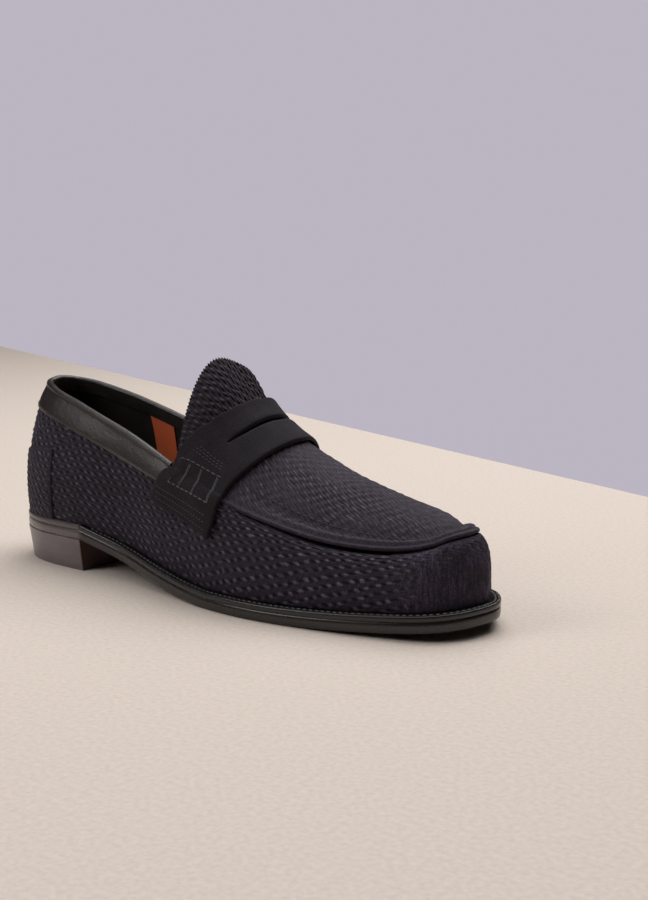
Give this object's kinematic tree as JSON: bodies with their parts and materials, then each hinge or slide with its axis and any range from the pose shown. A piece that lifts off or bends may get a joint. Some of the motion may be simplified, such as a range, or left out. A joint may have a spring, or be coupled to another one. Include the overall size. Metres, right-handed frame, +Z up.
{
  "type": "penny loafer",
  "caption": "Slip-on moccasin-seamed loafer with a slit saddle strap, welted sole and low stacked heel, worn on the right foot.",
  "frame": {"origin": "on the ground, under the middle of the outsole's length and width", "axes": "+X towards the toe, +Y towards the inner (medial) side, +Z up"},
  "size_m": [0.3023, 0.1003, 0.1182],
  "materials": {
    "woven_suede": "woven-embossed suede, dark aubergine navy, soft sheen",
    "plain_suede": "smooth fine-napped suede, charcoal navy",
    "calf": "smooth black calf, soft sheen",
    "lining_leather": "matt dark brown leather",
    "stiffener_board": "stiffened fibre sheet",
    "sole_leather": "edge-inked and polished sole leather",
    "welt_leather": "black waxed welt leather",
    "stacked_leather": "stacked leather, polished dark taupe",
    "heel_rubber": "dark polished rubber",
    "cork": "ground cork",
    "raw_leather": "undyed vegetable-tanned leather",
    "spring_steel": "tempered strip",
    "thread": "waxed thread",
    "label_cloth": "orange woven tape"
  },
  "bodies": {
    "shoe": {"outsole": "sole_leather", "welt": "welt_leather", "heel_rand": "welt_leather", "heel_lift_upper": "stacked_leather", "heel_lift_middle": "stacked_leather", "heel_lift_lower": "stacked_leather", "heel_top_piece": "heel_rubber", "cork_filler": "cork", "heel_filler": "raw_leather", "shank": "spring_steel", "insole_rib": "raw_leather", "insole": "raw_leather", "sock": "lining_leather", "heel_pad": "lining_leather", "welt_stitching": "thread", "skirt": "woven_suede", "apron": "woven_suede", "apron_stitching": "thread", "vamp_lining": "lining_leather", "toe_puff": "stiffener_board", "heel_counter": "stiffener_board", "quarter_lining": "lining_leather", "back_stay": "woven_suede", "back_stay_stitching": "thread", "collar": "calf", "collar_stitching": "thread", "strap": "plain_suede", "strap_backing": "plain_suede", "strap_stitching": "thread", "strap_bars": "thread", "size_label": "label_cloth", "tongue_base": "woven_suede"},
    "tongue": {"tongue": "woven_suede", "tongue_lining": "lining_leather"}
  },
  "joints": [
    {"name": "tongue_bend", "type": "hinge", "parent": "shoe", "child": "tongue", "pos_m": [0.0115, 0, 0.0902], "axis": [0, 1, 0], "range_deg": [0, 20], "stiffness_Nm_per_rad": 0.05}
  ]
}
